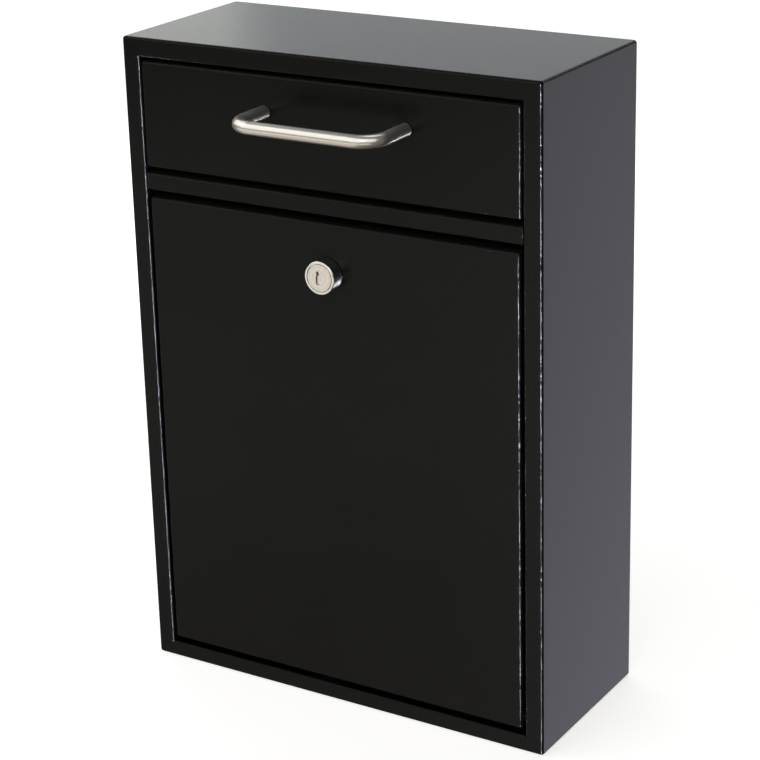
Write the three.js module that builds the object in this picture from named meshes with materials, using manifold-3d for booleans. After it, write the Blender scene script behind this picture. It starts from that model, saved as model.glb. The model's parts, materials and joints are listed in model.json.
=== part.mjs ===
// A wall-hung steel parcel drop box: a folded cabinet, a pull-down deposit hopper with a bar handle,
// and a drop-down access door with a cam lock.
// Millimetres. X runs to the right seen from the front, Y to the back, Z up.
// The origin is the middle of the cabinet's underside.

import * as THREE from 'three';
import { mergeVertices } from 'three/addons/utils/BufferGeometryUtils.js';
import { RoundedBoxGeometry } from 'three/addons/geometries/RoundedBoxGeometry.js';
import Module from 'manifold-3d';

const wasm = await Module();
wasm.setup();

// Cabinet
const width = 284.5;
const depth = 119.4;
const height = 411.5;
const sheet = 1.2;
const bendRadius = 2;
const sideFlange = 12.4;
const topFlange = 12.2;
const bottomFlange = 10.7;
const rearFlange = 12;
const rearOpeningCorner = 5;
const backPanelMargin = 1;

// Wall fixings in the back panel
const fixingSpacing = 180;
const keyholeFromTop = 42;
const keyholeHeadRadius = 4.5;
const keyholeSlotRadius = 2.4;
const keyholeRise = 9;
const lowerFixingHeight = 45;
const lowerFixingRadius = 3.2;

// Divider rail between the two doors
const railHeight = 11;
const railDepth = 15;

// Door pans
const hopperPanelHeight = 65.7;
const hopperSideGap = 0.7;
const doorSideGap = 1.75;
const hopperTopGap = 2;
const hopperRailGap = 3.5;
const doorRailGap = 4.2;
const doorBottomGap = 3.4;

// Pivots: a headed pin through each side of a door and its lip, with a clip outside the lip
const hopperPivotRise = 8;
const pinRadius = 2.5;
const pinClearance = 0.3;
const pinHeadRim = 0.8;
const pinHeadThickness = 1.3;
const pinHeadClearance = 0.4;
const pinEdge = 1.2;
const pinTail = 1.2;
const clipRim = 2.1;
const clipThickness = 0.8;
const clipGroove = 0.6;
const clipMouth = THREE.MathUtils.degToRad(50);

// Hopper
const hopperOpenAngle = THREE.MathUtils.degToRad(50);
const traySlope = THREE.MathUtils.degToRad(60);
const trayReach = 20;
const trayTipClearance = 3.5;
const trayBend = 4;
const cheekRadius = 55;
const lugLength = 9;
const lugProjection = 8.8;

// Anti-fishing baffle on the back panel
const baffleBlade = 21;
const baffleLeg = 18;
const baffleSlope = THREE.MathUtils.degToRad(45);
const baffleSideMargin = 2;
const baffleTipClearance = 4;

// Stops and bumpers
const stopWidth = 18;
const stopLeg = 12;
const doorStopDrop = 62;
const doorStopReach = 13;
const hopperStopSpacing = 170;
const bumperRadius = 3.8;
const bumperThickness = 1.7;
const bumperRound = 0.5;

// Bar handle
const handleRod = 8;
const handleCentres = 96;
const handleReach = 36;
const handleBend = 14;
const handleOffset = 8;
const handleFromTop = 36;
const screwRadius = 2;
const screwBite = 10;
const screwClearance = 0.3;
const screwHeadRadius = 3.8;
const screwHeadHeight = 2.3;
const screwHeadDome = 0.5;
const washerRadius = 5;
const washerThickness = 0.8;

// A cross recess, as shares of the screw's shank radius, head radius and head height
const recessWidth = 0.2;
const recessReach = 0.55;
const recessFloor = 0.45;

// Cam lock
const lockFromTop = 129.5;
const lockBarrelRadius = 8;
const lockBarrelLength = 16.2;
const lockFlatDepth = 1;
const lockWall = 0.9;
const lockHeadLedge = 2.25;
const lockHeadLength = 9;
const lockHeadRound = 0.7;
const lockRim = 1.65;
const lockRecessDepth = 1.8;
const lockHoleClearance = 0.3;
const lockWasherThickness = 1;
const nutRim = 3;
const nutThickness = 5;
const keywayWidth = 2.4;
const keywayEnds = 1.4;
const keywayOffset = 1.2;
const keywayDepth = 20;
const keywayWard = 0.8;
const shutterSetback = 1.1;
const shutterThickness = 0.6;
const waferCount = 5;
const waferPitch = 2.2;
const waferThickness = 0.8;
const waferWidth = 6;
const waferInset = 0.36;
const waferWindowWidth = 2.8;
const waferBar = 1.85;
const waferStep = 0.45;
const firstWafer = 3.5;
const tailInset = 0.15;
const camLength = 39;
const camWidth = 13;
const camThickness = 2;
const camHubRadius = 8.6;
const camScrewRadius = 2.5;
const camScrewBite = 7;
const camScrewHeadRadius = 4.8;
const camScrewHeadHeight = 3;
const camWasherRadius = 6;

// Gap left between faces that touch or are welded, and overshoot of cutting tools
const gap = 0.3;
const over = 1;

// Smoothness of round shapes
const bendSegments = 2;
const roundSides = 24;
const rodSides = 16;
const handleSteps = 48;

// Worked-out places
const front = -depth / 2;
const back = depth / 2;
const openingHalf = width / 2 - sideFlange;
const openingTop = height - topFlange;
const lipOutside = openingHalf + sheet;
const hopperTop = openingTop - hopperTopGap;
const hopperBottom = hopperTop - hopperPanelHeight;
const railTop = hopperBottom - hopperRailGap;
const railBottom = railTop - railHeight;
const doorTop = railBottom - doorRailGap;
const doorBottom = bottomFlange + doorBottomGap;
const doorHeight = doorTop - doorBottom;
const hopperHalf = openingHalf - hopperSideGap;
const doorHalf = openingHalf - doorSideGap;
const pinHeadRadius = pinRadius + pinHeadRim;
const clipRadius = pinRadius + clipRim;
// The access door's pin heads clear its bottom return, and its open face clears the bottom flange.
const doorPivotZ = doorBottom + sheet + pinHeadClearance + pinHeadRadius;
const pivotDepth = doorPivotZ - bottomFlange - gap;
const pivotY = front + pivotDepth;
const hopperPivotZ = hopperBottom + hopperPivotRise;
// The doors' returns hold the pins, and the lips reach behind them by a bumper's thickness.
const panReturn = pivotDepth + pinRadius + pinClearance + pinEdge;
const lipDepth = panReturn + gap + bumperThickness;
const lipRear = front + lipDepth;
const cheekOutside = hopperHalf - sheet - gap;
const cheekInside = cheekOutside - sheet;
const trayHalf = cheekInside - gap;
const trayUnderside = sheet + gap - hopperPivotRise;
const trayTopSide = trayUnderside + sheet;
const lugInnerRadius = cheekRadius - lugLength;
const hopperStopHang = 2 * (bumperRadius + gap);
const backPanelFront = back - sheet - gap - sheet;
const baffleY = backPanelFront - gap - sheet / 2;
const baffleTipY = baffleY - baffleBlade * Math.cos(baffleSlope);
const lockZ = height - lockFromTop;
// On the lock's axis, y = 0 is the door's outer face.
const lockFace = -gap - lockHeadLength;
const lockHeadRadius = lockBarrelRadius + lockHeadLedge;
const lockRecessRadius = lockHeadRadius - lockRim;
const lockBore = lockBarrelRadius - lockFlatDepth - lockWall;
const nutAcrossFlats = 2 * (lockBarrelRadius + nutRim);
const plugRadius = lockBore - gap;
const camFront = lockBarrelLength + 2 * gap;
const plugLength = camFront + camThickness + gap;
const tailSquare = Math.SQRT2 * (plugRadius - tailInset);
const keywayHeight = 2 * (plugRadius - keywayEnds);
const keywayWardHeight = keywayHeight / 3;
const waferHeight = 2 * (Math.sqrt(plugRadius ** 2 - (waferWidth / 2) ** 2) - waferInset);
const waferWindowHeight = waferHeight - 2 * waferBar;

// Finishes
const powderCoat = { color: 0x1b1b1a, roughness: 0.5, metalness: 0.1 };
const satinSteel = { color: 0xc9c6bf, roughness: 0.28, metalness: 1 };
const chromedZinc = { color: 0xd2d2d0, roughness: 0.12, metalness: 1 };
const nickelSilver = { color: 0xc6c0b2, roughness: 0.3, metalness: 1 };
const zincPlate = { color: 0xaeb2b4, roughness: 0.4, metalness: 1 };
const brass = { color: 0xb8974f, roughness: 0.35, metalness: 1 };
const rubber = { color: 0x171717, roughness: 0.9, metalness: 0 };

// A closed geometry as a solid that can be joined and cut.
function solid(geometry) {
  const bare = new THREE.BufferGeometry();
  bare.setAttribute('position', geometry.getAttribute('position').clone());
  if (geometry.index) bare.setIndex(geometry.index.clone());
  const merged = mergeVertices(bare, 1e-4);
  return new wasm.Manifold(new wasm.Mesh({
    numProp: 3,
    vertProperties: new Float32Array(merged.attributes.position.array),
    triVerts: new Uint32Array(merged.index.array),
  }));
}

function named(name, finish, shape) {
  const made = shape.getMesh();
  const geometry = new THREE.BufferGeometry();
  geometry.setAttribute('position', new THREE.BufferAttribute(made.vertProperties, made.numProp));
  geometry.setIndex(new THREE.BufferAttribute(made.triVerts, 1));
  geometry.computeVertexNormals();
  const mesh = new THREE.Mesh(geometry, new THREE.MeshStandardMaterial(finish));
  mesh.name = name;
  return mesh;
}

function join(first, ...rest) {
  return rest.reduce((whole, piece) => whole.add(piece), first);
}

function cut(whole, ...tools) {
  return tools.reduce((left, tool) => left.subtract(tool), whole);
}

function block(x0, x1, y0, y1, z0, z1) {
  const geometry = new THREE.BoxGeometry(x1 - x0, y1 - y0, z1 - z0);
  return solid(geometry.translate((x0 + x1) / 2, (y0 + y1) / 2, (z0 + z1) / 2));
}

function roundedBlock(x, y, z, radius, centreY, centreZ) {
  const geometry = new RoundedBoxGeometry(x, y, z, bendSegments, radius);
  return solid(geometry.translate(0, centreY, centreZ));
}

function extruded(outline, length, axes, start) {
  const settings = { depth: length, bevelEnabled: false, curveSegments: roundSides / 4 };
  const geometry = new THREE.ExtrudeGeometry(outline, settings);
  const turn = new THREE.Matrix4().makeBasis(...axes);
  return solid(geometry.applyMatrix4(turn).translate(start.x, start.y, start.z));
}

// An outline drawn in (y, z) and drawn out along X.
function alongX(outline, x0, x1) {
  const axes = [new THREE.Vector3(0, 1, 0), new THREE.Vector3(0, 0, 1), new THREE.Vector3(1, 0, 0)];
  return extruded(outline, x1 - x0, axes, new THREE.Vector3(x0, 0, 0));
}

// An outline drawn in (x, z) and drawn out along Y.
function alongY(outline, y0, y1) {
  const axes = [new THREE.Vector3(1, 0, 0), new THREE.Vector3(0, 0, 1), new THREE.Vector3(0, -1, 0)];
  return extruded(outline, y1 - y0, axes, new THREE.Vector3(0, y1, 0));
}

// A profile of (radius, height) points turned round the Y axis.
function turned(points) {
  const profile = points.map(([radius, y]) => new THREE.Vector2(radius, y));
  return solid(new THREE.LatheGeometry([...profile, profile[0]], roundSides));
}

function rodY(radius, y0, y1, x = 0, z = 0) {
  const geometry = new THREE.CylinderGeometry(radius, radius, y1 - y0, roundSides);
  return solid(geometry.translate(x, (y0 + y1) / 2, z));
}

function rodX(radius, x0, x1, y = 0, z = 0) {
  const geometry = new THREE.CylinderGeometry(radius, radius, x1 - x0, roundSides);
  return solid(geometry.rotateZ(Math.PI / 2).translate((x0 + x1) / 2, y, z));
}

function outlineOf(points) {
  return new THREE.Shape(points.map(([a, b]) => new THREE.Vector2(a, b)));
}

function rectangle(a0, a1, b0, b1) {
  return outlineOf([[a0, b0], [a1, b0], [a1, b1], [a0, b1]]);
}

function roundedOutline(a0, a1, b0, b1, radius) {
  const outline = new THREE.Shape();
  outline.absarc(a1 - radius, b0 + radius, radius, -Math.PI / 2, 0);
  outline.absarc(a1 - radius, b1 - radius, radius, 0, Math.PI / 2);
  outline.absarc(a0 + radius, b1 - radius, radius, Math.PI / 2, Math.PI);
  outline.absarc(a0 + radius, b0 + radius, radius, Math.PI, Math.PI * 1.5);
  return outline;
}

// The space in the front opening, flared by the bend round its sides and top.
function openingFlare() {
  const wide = openingHalf + bendRadius;
  const high = openingTop + bendRadius;
  const ring = rectangle(-width, width, -height, 2 * height);
  ring.holes.push(rectangle(-wide, wide, bottomFlange - 2 * bendRadius, high));
  const settings = {
    depth: bendRadius,
    bevelThickness: bendRadius,
    bevelSize: bendRadius,
    bevelSegments: 2 * bendSegments,
  };
  const geometry = new THREE.ExtrudeGeometry(ring, settings);
  const bend = solid(geometry.rotateX(Math.PI / 2).translate(0, front + 2 * bendRadius, 0));
  const space = block(-wide - over, wide + over, front - over, front + bendRadius, bottomFlange, high + over);
  return cut(space, bend);
}

function cabinetWrap() {
  const outer = roundedBlock(width, depth, height, bendRadius, 0, height / 2);
  const walls = 2 * sheet;
  const inner = roundedBlock(
    width - walls,
    depth - walls,
    height - walls,
    bendRadius - sheet,
    0,
    height / 2,
  );
  const rearHalf = width / 2 - rearFlange;
  const rearOpening = roundedOutline(-rearHalf, rearHalf, rearFlange, height - rearFlange, rearOpeningCorner);
  const lips = outlineOf([
    [-lipOutside, bottomFlange],
    [-openingHalf, bottomFlange],
    [-openingHalf, openingTop],
    [openingHalf, openingTop],
    [openingHalf, bottomFlange],
    [lipOutside, bottomFlange],
    [lipOutside, openingTop + sheet],
    [-lipOutside, openingTop + sheet],
  ]);
  const shell = cut(
    outer,
    inner,
    block(-openingHalf, openingHalf, front - over, front + lipDepth, bottomFlange, openingTop),
    alongY(rearOpening, back - sheet - over, back + over),
  );
  const pinHoles = [doorPivotZ, hopperPivotZ].map((z) => (
    rodX(pinRadius + pinClearance, -lipOutside - over, lipOutside + over, pivotY, z)
  ));
  return cut(join(shell, alongY(lips, front + sheet / 2, lipRear)), openingFlare(), ...pinHoles);
}

function keyhole(x, z) {
  return [
    rodY(keyholeHeadRadius, backPanelFront - over, back, x, z),
    rodY(keyholeSlotRadius, backPanelFront - over, back, x, z + keyholeRise),
    block(x - keyholeSlotRadius, x + keyholeSlotRadius, backPanelFront - over, back, z, z + keyholeRise),
  ];
}

function backPanel() {
  const half = width / 2 - sheet - backPanelMargin;
  const low = sheet + backPanelMargin;
  const plate = block(-half, half, backPanelFront, backPanelFront + sheet, low, height - low);
  const holes = [-1, 1].flatMap((side) => {
    const x = side * fixingSpacing / 2;
    const lower = rodY(lowerFixingRadius, backPanelFront - over, back, x, lowerFixingHeight);
    return [...keyhole(x, height - keyholeFromTop), lower];
  });
  return cut(plate, ...holes);
}

function dividerRail() {
  const half = openingHalf - gap;
  const outer = roundedBlock(2 * half + 4 * bendRadius, 2 * railDepth, railHeight, bendRadius, 0, 0);
  const innerRadius = bendRadius - sheet;
  const inner = roundedBlock(2 * width, 2 * (railDepth - sheet), railHeight - 2 * sheet, innerRadius, 0, 0);
  const span = block(-half, half, -railDepth, 0, -railHeight, railHeight);
  return cut(outer, inner).intersect(span).translate([0, front + railDepth, railBottom + railHeight / 2]);
}

// A strip of sheet along X that runs along (y, z) points and is bent at each inner one.
function bentStrip(points, x0, x1) {
  const path = points.map(([y, z]) => new THREE.Vector2(y, z));
  const offset = (side) => path.map((point, i) => {
    const before = path[Math.max(i - 1, 0)];
    const after = path[Math.min(i + 1, path.length - 1)];
    const into = (i ? point.clone().sub(before) : after.clone().sub(point)).normalize();
    const out = (i < path.length - 1 ? after.clone().sub(point) : point.clone().sub(before)).normalize();
    const mitre = new THREE.Vector2(-into.y - out.y, into.x + out.x).normalize();
    const spread = mitre.dot(new THREE.Vector2(-into.y, into.x));
    return point.clone().addScaledVector(mitre, side * sheet / 2 / spread);
  });
  return alongX(new THREE.Shape([...offset(-1), ...offset(1).reverse()]), x0, x1);
}

function antiFishingBaffle() {
  const tipZ = hopperPivotZ - baffleTipClearance;
  const bendZ = tipZ + baffleBlade * Math.sin(baffleSlope);
  const half = width / 2 - sheet - baffleSideMargin;
  return bentStrip([[baffleTipY, tipZ], [baffleY, bendZ], [baffleY, bendZ + baffleLeg]], -half, half);
}

// A tab behind a side lip, with its foot on the lip's outside and its toe in the door's way.
function doorStop(side) {
  const low = doorTop - doorStopDrop;
  const high = low + stopWidth;
  const footX = lipOutside + gap;
  const rear = lipRear + gap + sheet;
  const foot = block(footX, footX + sheet, rear - stopLeg, rear, low, high);
  const toe = block(openingHalf - doorStopReach, footX + sheet, rear - sheet, rear, low, high);
  const tab = join(foot, toe);
  return side > 0 ? tab : tab.mirror([1, 0, 0]);
}

// A tab that hangs from the top lip behind the hopper's top edge.
function hopperStop(side) {
  const x0 = side * hopperStopSpacing / 2 - stopWidth / 2;
  const x1 = x0 + stopWidth;
  const footZ = openingTop + sheet + gap;
  const rear = lipRear + gap + sheet;
  const foot = block(x0, x1, rear - stopLeg, rear, footZ, footZ + sheet);
  const toe = block(x0, x1, rear - sheet, rear, openingTop - hopperStopHang, footZ + sheet);
  return join(foot, toe);
}

function bumper() {
  return turned([
    [0, -bumperThickness],
    [bumperRadius - bumperRound, -bumperThickness],
    [bumperRadius, bumperRound - bumperThickness],
    [bumperRadius, 0],
    [0, 0],
  ]);
}

// A pivot pin along +Y, its head's underside at 0 and the groove for its clip past the lip.
function pivotPin(innerFace) {
  const grooveStart = lipOutside + gap / 2 - innerFace;
  const grooveEnd = grooveStart + gap + clipThickness + gap / 2;
  const core = pinRadius - clipGroove;
  return turned([
    [0, -pinHeadThickness],
    [pinHeadRadius, -pinHeadThickness],
    [pinHeadRadius, 0],
    [pinRadius, 0],
    [pinRadius, grooveStart],
    [core, grooveStart],
    [core, grooveEnd],
    [pinRadius, grooveEnd],
    [pinRadius, grooveEnd + pinTail],
    [0, grooveEnd + pinTail],
  ]);
}

// An open ring that snaps into a pin's groove, flat across Y.
function retainingClip() {
  const inner = pinRadius - clipGroove + pinClearance;
  const outline = new THREE.Shape();
  outline.absarc(0, 0, clipRadius, clipMouth, 2 * Math.PI - clipMouth);
  outline.absarc(0, 0, inner, 2 * Math.PI - clipMouth, clipMouth, true);
  return alongY(outline, 0, clipThickness);
}

// A door pan with its pin holes, its face at y = 0, its returns towards +Y and its lowest edge at z = 0.
function pan(half, tall, pivotRise) {
  const outer = roundedBlock(2 * half, 2 * panReturn, tall, bendRadius, panReturn, tall / 2);
  const inner = roundedBlock(
    2 * (half - sheet),
    2 * (panReturn - sheet),
    tall - 2 * sheet,
    bendRadius - sheet,
    panReturn,
    tall / 2,
  );
  const behind = block(-2 * half, 2 * half, panReturn, 3 * panReturn, -over, tall + over);
  const pinHole = rodX(pinRadius + pinClearance, -half - over, half + over, pivotDepth, pivotRise);
  return cut(outer, inner, behind, pinHole);
}

// Everything on the hopper is placed from its pivot axis.
function hopperPanel() {
  const handleZ = height - handleFromTop - hopperBottom;
  const screwHoles = [-1, 1].map((side) => (
    rodY(screwRadius + screwClearance, -over, sheet + over, handleOffset + side * handleCentres / 2, handleZ)
  ));
  const panel = cut(pan(hopperHalf, hopperPanelHeight, hopperPivotRise), ...screwHoles);
  return panel.translate([0, -pivotDepth, -hopperPivotRise]);
}

// The tray's flat front part, its bend and its slope, whose tip swings just clear of the baffle's.
function hopperTray() {
  const z = (trayUnderside + trayTopSide) / 2;
  const turn = trayReach - pivotDepth;
  const downSlope = (run) => [turn + run * Math.cos(traySlope), z - run * Math.sin(traySlope)];
  const tipRadius = baffleTipY - pivotY - trayTipClearance;
  const along = turn * Math.cos(traySlope) - z * Math.sin(traySlope);
  const slopeLength = Math.sqrt(tipRadius ** 2 - turn ** 2 - z ** 2 + along ** 2) - along;
  const start = sheet + bendRadius - pivotDepth;
  const line = [[start, z], [turn - trayBend, z], downSlope(trayBend), downSlope(slopeLength)];
  return bentStrip(line, -trayHalf, trayHalf);
}

// A side plate of the pocket, with a lug bent outwards that meets the side lip when the hopper is open.
function hopperCheek(side) {
  const lugAngle = Math.acos((lipDepth - pivotDepth + gap) / lugInnerRadius) - hopperOpenAngle;
  const endAngle = lugAngle - Math.asin(sheet / lugInnerRadius);
  const frontY = sheet + gap - pivotDepth;
  const low = trayTopSide + gap;
  const outline = new THREE.Shape();
  outline.moveTo(frontY, low);
  outline.lineTo(pivotDepth, low);
  outline.absarc(0, 0, cheekRadius, endAngle, Math.acos(frontY / cheekRadius));
  const radial = new THREE.Vector2(Math.cos(lugAngle), Math.sin(lugAngle));
  const behind = new THREE.Vector2(radial.y, -radial.x).multiplyScalar(sheet);
  const near = radial.clone().multiplyScalar(lugInnerRadius);
  const far = radial.clone().multiplyScalar(cheekRadius - gap);
  const lug = new THREE.Shape([near, near.clone().add(behind), far.clone().add(behind), far]);
  const pinHole = rodX(pinRadius + pinClearance, cheekInside - over, cheekOutside + over);
  const plate = cut(alongX(outline, cheekInside, cheekOutside), pinHole);
  const cheek = join(plate, alongX(lug, cheekInside, cheekOutside + lugProjection));
  return side > 0 ? cheek : cheek.mirror([1, 0, 0]);
}

// The handle's centreline: out from the panel, across and back, with round bends.
class HandleLine extends THREE.Curve {
  getPoint(t, target = new THREE.Vector3()) {
    const post = handleReach - gap - handleBend;
    const bend = handleBend * Math.PI / 2;
    const half = handleCentres / 2;
    const bar = half - handleBend;
    const total = 2 * (post + bend + bar);
    const far = t > 0.5;
    const run = (far ? 1 - t : t) * total;
    let across = half;
    let out = gap + run;
    if (run > post) {
      const angle = Math.min(run - post, bend) / handleBend;
      across = half - handleBend * (1 - Math.cos(angle)) - Math.max(run - post - bend, 0);
      out = gap + post + handleBend * Math.sin(angle);
    }
    return target.set(far ? across : -across, -out, 0);
  }
}

function pullHandle() {
  const section = new THREE.Shape().absarc(0, 0, handleRod / 2, 0, 2 * Math.PI);
  const settings = { steps: handleSteps, extrudePath: new HandleLine(), curveSegments: rodSides / 2 };
  const bar = solid(new THREE.ExtrudeGeometry(section, settings));
  const holes = [-1, 1].map((side) => (
    rodY(screwRadius + screwClearance, -screwBite - gap - over, 0, side * handleCentres / 2)
  ));
  return cut(bar, ...holes);
}

function washer(innerRadius, outerRadius, thickness) {
  return turned([[innerRadius, 0], [outerRadius, 0], [outerRadius, thickness], [innerRadius, thickness]]);
}

// A screw along -Y with the underside of its head at 0 and a cross recess.
function screw(shank, headRadius, headHeight, length) {
  const body = turned([
    [0, -length],
    [shank, -length],
    [shank, 0],
    [headRadius, 0],
    [headRadius, headHeight - screwHeadDome],
    [headRadius - screwHeadDome, headHeight],
    [0, headHeight],
  ]);
  const slotHalf = shank * recessWidth;
  const slotReach = headRadius * recessReach;
  const floor = headHeight * recessFloor;
  return cut(
    body,
    block(-slotReach, slotReach, floor, headHeight + over, -slotHalf, slotHalf),
    block(-slotHalf, slotHalf, floor, headHeight + over, -slotReach, slotReach),
  );
}

// The outline of the lock's barrel: a circle with two flats at its sides.
function barrelOutline(clearance) {
  const radius = lockBarrelRadius + clearance;
  const half = lockBarrelRadius - lockFlatDepth + clearance;
  const angle = Math.acos(half / radius);
  const outline = new THREE.Shape();
  outline.absarc(0, 0, radius, angle, Math.PI - angle);
  outline.absarc(0, 0, radius, Math.PI + angle, 2 * Math.PI - angle);
  return outline;
}

// Everything on the access door is placed from its pivot axis.
function accessDoorPanel() {
  const pivotRise = doorPivotZ - doorBottom;
  const lockHole = alongY(barrelOutline(lockHoleClearance), -over, sheet + over);
  const panel = cut(pan(doorHalf, doorHeight, pivotRise), lockHole.translate([0, 0, lockZ - doorBottom]));
  return panel.translate([0, -pivotDepth, -pivotRise]);
}

// Everything on the lock is placed from its axis, with y = 0 on the door's outer face.
function lockHousing() {
  const rim = Array.from({ length: bendSegments + 1 }, (_, i) => {
    const angle = Math.PI / 2 * i / bendSegments;
    const radius = lockHeadRadius - lockHeadRound * (1 - Math.sin(angle));
    return [radius, lockFace + lockHeadRound * (1 - Math.cos(angle))];
  });
  const head = turned([
    [lockBore, lockFace + lockRecessDepth],
    [lockRecessRadius, lockFace + lockRecessDepth],
    [lockRecessRadius, lockFace],
    ...rim,
    [lockHeadRadius, -gap],
    [lockBore, -gap],
  ]);
  const barrel = alongY(barrelOutline(0), -gap - over, lockBarrelLength);
  return cut(join(head, barrel), rodY(lockBore, lockFace, lockBarrelLength + over));
}

// The keyway: an upright slot with a ward on each side, so that only a profiled key passes.
function keyway(inset, y0, y1) {
  const half = keywayWidth / 2 - inset;
  const top = keywayHeight / 2 - inset;
  const step = keywayWardHeight / 2;
  const outline = outlineOf([
    [-half, -top],
    [half, -top],
    [half, -step],
    [half - keywayWard, -step],
    [half - keywayWard, step],
    [half, step],
    [half, top],
    [-half + keywayWard, top],
    [-half + keywayWard, step],
    [-half, step],
  ]);
  return alongY(outline, y0, y1).translate([-keywayOffset, 0, 0]);
}

function waferPlace(index) {
  return lockFace + firstWafer + index * waferPitch;
}

function lockPlug() {
  const headRadius = lockRecessRadius - gap;
  const headEnd = lockFace + lockRecessDepth - gap;
  const round = turned([
    [0, lockFace],
    [headRadius, lockFace],
    [headRadius, headEnd],
    [plugRadius, headEnd],
    [plugRadius, lockBarrelLength + gap],
    [0, lockBarrelLength + gap],
  ]);
  const half = tailSquare / 2;
  const tail = block(-half, half, lockBarrelLength, plugLength, -half, half);
  const slots = Array.from({ length: waferCount }, (_, i) => {
    const y = waferPlace(i);
    const wide = waferWidth / 2 + gap;
    const tall = waferHeight / 2 + gap;
    return block(-wide, wide, y - gap, y + waferThickness + gap, -tall, tall);
  });
  return cut(
    join(round, tail),
    keyway(0, lockFace - over, lockFace + keywayDepth),
    rodY(camScrewRadius + screwClearance, plugLength - camScrewBite - over, plugLength + over),
    ...slots,
  );
}

function lockWafer(index) {
  const middle = (index - (waferCount - 1) / 2) * waferStep;
  const plate = block(-waferWidth / 2, waferWidth / 2, 0, waferThickness, -waferHeight / 2, waferHeight / 2);
  const half = waferWindowWidth / 2;
  const tall = waferWindowHeight / 2;
  return cut(plate, block(-half, half, -over, waferThickness + over, middle - tall, middle + tall));
}

function keywayShutter() {
  return keyway(gap, 0, shutterThickness);
}

function lockNut() {
  const radius = nutAcrossFlats / Math.sqrt(3);
  const corners = Array.from({ length: 6 }, (_, i) => [
    radius * Math.cos(i * Math.PI / 3),
    radius * Math.sin(i * Math.PI / 3),
  ]);
  const bore = rodY(lockBarrelRadius + gap, -over, nutThickness + over);
  return cut(alongY(outlineOf(corners), 0, nutThickness), bore);
}

// The cam points to -X from its hub, as when the lock is open.
function lockCam() {
  const half = camWidth / 2;
  const hole = tailSquare / 2 + gap;
  const tip = camLength - half;
  const arm = new THREE.Shape();
  arm.absarc(-tip, 0, half, Math.PI / 2, Math.PI * 1.5);
  arm.lineTo(0, -half);
  arm.lineTo(0, half);
  return cut(
    join(alongY(arm, 0, camThickness), rodY(camHubRadius, 0, camThickness)),
    block(-hole, hole, -over, camThickness + over, -hole, hole),
  );
}

function place(mesh, x, y, z) {
  mesh.position.set(x, y, z);
  return mesh;
}

// A pin, turned so that it points outwards, and the clip that holds it.
function addPivot(group, owner, innerFace, z) {
  [-1, 1].forEach((side) => {
    const label = side < 0 ? 'left' : 'right';
    const pivot = new THREE.Group();
    pivot.position.set(side * (innerFace - gap), pivotY, z);
    pivot.rotation.z = -side * Math.PI / 2;
    pivot.add(named(`${owner}_pin_${label}`, zincPlate, pivotPin(innerFace - gap)));
    const clip = named(`${owner}_pin_clip_${label}`, zincPlate, retainingClip());
    pivot.add(place(clip, 0, lipOutside + gap - innerFace + gap, 0));
    group.add(pivot);
  });
}

function cabinetGroup() {
  const cabinet = new THREE.Group();
  cabinet.add(named('cabinet_wrap', powderCoat, cabinetWrap()));
  cabinet.add(named('back_panel', powderCoat, backPanel()));
  cabinet.add(named('divider_rail', powderCoat, dividerRail()));
  cabinet.add(named('anti_fishing_baffle', powderCoat, antiFishingBaffle()));
  [-1, 1].forEach((side) => {
    const label = side < 0 ? 'left' : 'right';
    cabinet.add(named(`door_stop_${label}`, powderCoat, doorStop(side)));
    cabinet.add(named(`hopper_stop_${label}`, powderCoat, hopperStop(side)));
    const doorBumper = named(`door_bumper_${label}`, rubber, bumper());
    const doorBumperX = side * (openingHalf - gap - bumperRadius);
    cabinet.add(place(doorBumper, doorBumperX, lipRear, doorTop - doorStopDrop + stopWidth / 2));
    const hopperBumper = named(`hopper_bumper_${label}`, rubber, bumper());
    const hopperBumperX = side * hopperStopSpacing / 2;
    cabinet.add(place(hopperBumper, hopperBumperX, lipRear, openingTop - gap - bumperRadius));
  });
  addPivot(cabinet, 'hopper', cheekInside, hopperPivotZ);
  addPivot(cabinet, 'door', doorHalf - sheet, doorPivotZ);
  return cabinet;
}

function handleGroup() {
  const handle = new THREE.Group();
  handle.position.set(handleOffset, -pivotDepth, height - handleFromTop - hopperPivotZ);
  handle.add(named('pull_handle', satinSteel, pullHandle()));
  [-1, 1].forEach((side) => {
    const label = side < 0 ? 'left' : 'right';
    const x = side * handleCentres / 2;
    const ring = washer(screwRadius + screwClearance, washerRadius, washerThickness);
    handle.add(place(named(`handle_washer_${label}`, zincPlate, ring), x, sheet + gap, 0));
    const headY = sheet + gap + washerThickness + gap;
    const bolt = screw(screwRadius, screwHeadRadius, screwHeadHeight, headY + screwBite);
    handle.add(place(named(`handle_screw_${label}`, zincPlate, bolt), x, headY, 0));
  });
  return handle;
}

function hopperGroup() {
  const hopper = new THREE.Group();
  hopper.position.set(0, pivotY, hopperPivotZ);
  hopper.add(named('hopper_panel', powderCoat, hopperPanel()));
  hopper.add(named('hopper_tray', powderCoat, hopperTray()));
  hopper.add(named('hopper_cheek_left', powderCoat, hopperCheek(-1)));
  hopper.add(named('hopper_cheek_right', powderCoat, hopperCheek(1)));
  hopper.add(handleGroup());
  return hopper;
}

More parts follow.
